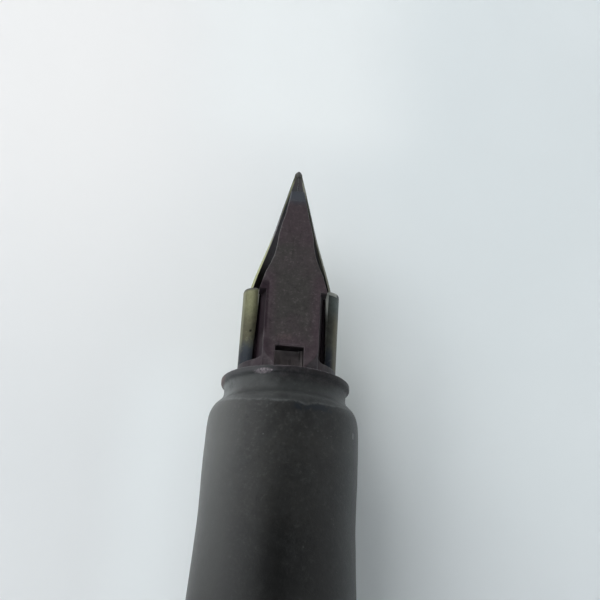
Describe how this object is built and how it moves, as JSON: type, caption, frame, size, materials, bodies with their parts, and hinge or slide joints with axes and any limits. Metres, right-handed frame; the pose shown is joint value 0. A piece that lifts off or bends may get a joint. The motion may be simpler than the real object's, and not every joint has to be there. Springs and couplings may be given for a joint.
{
  "type": "fountain pen",
  "caption": "Uncapped cartridge and converter fountain pen with a folded steel nib, moulded feed, waisted grip and unscrewing barrel.",
  "frame": {"origin": "centre of the flat rear end of the barrel", "axes": "+Z along the pen towards the writing tip, +Y towards the top of the nib, feed's belly towards -Y"},
  "size_m": [0.0128, 0.0129, 0.1293],
  "materials": {
    "grip_black": "satin moulded",
    "core_plastic": "moulded, ink stained",
    "ring_steel": "turned",
    "seal_rubber": "smooth",
    "nib_steel": "tarnished, ink stained",
    "tipping": "ground",
    "feed_plastic": "moulded, ink stained",
    "barrel_black": "satin moulded",
    "bush_brass": "machined",
    "plug_plastic": "polished",
    "clear_tube": "clear, ink tinted",
    "mouth_plastic": "moulded",
    "collar_chrome": "polished",
    "guide_plastic": "moulded",
    "knob_plastic": "knurled",
    "rod_plastic": "moulded",
    "piston_plastic": "moulded"
  },
  "bodies": {
    "section": {"grip_sleeve": "grip_black", "section_core": "core_plastic", "catch_ring": "ring_steel"},
    "feed": {"feed": "feed_plastic", "feed_comb": "feed_plastic"},
    "nib": {"nib_blade": "nib_steel", "nib_tipping": "tipping"},
    "seal_ring": {"seal_ring": "seal_rubber"},
    "barrel": {"barrel": "barrel_black", "thread_bush": "bush_brass", "end_plug": "plug_plastic"},
    "converter": {"ink_tube": "clear_tube", "mouth_bush": "mouth_plastic", "converter_collar": "collar_chrome", "rod_guide": "guide_plastic"},
    "knob": {"turning_knob": "knob_plastic", "drive_nut": "guide_plastic", "knob_clip": "ring_steel"},
    "piston": {"piston_rod": "rod_plastic", "piston_head": "piston_plastic", "piston_seals": "seal_rubber"}
  },
  "joints": [
    {"name": "feed_pull", "type": "slide", "parent": "section", "child": "feed", "axis": [0, 0, 1], "range_m": [0, 0.033]},
    {"name": "nib_pull", "type": "slide", "parent": "feed", "child": "nib", "axis": [0, 0, 1], "range_m": [0, 0.021]},
    {"name": "barrel_turn", "type": "hinge", "parent": "section", "child": "seal_ring", "pos_m": [0, 0, 0.07845], "axis": [0, 0, -1], "range_deg": [0, 9900]},
    {"name": "barrel_draw", "type": "slide", "parent": "seal_ring", "child": "barrel", "axis": [0, 0, -1], "range_m": [0, 0.066]},
    {"name": "converter_pull", "type": "slide", "parent": "section", "child": "converter", "axis": [0, 0, -1], "range_m": [0, 0.0072]},
    {"name": "knob_turn", "type": "hinge", "parent": "converter", "child": "knob", "pos_m": [0, 0, 0.025], "axis": [0, 0, -1], "range_deg": [0, 1440]},
    {"name": "piston_travel", "type": "slide", "parent": "converter", "child": "piston", "axis": [0, 0, 1], "range_m": [0, 0.018]}
  ],
  "couplings": [
    {"joint": "barrel_turn", "follows": "barrel_draw", "rad_per_m": 2618},
    {"joint": "knob_turn", "follows": "piston_travel", "rad_per_m": 1396.3}
  ]
}
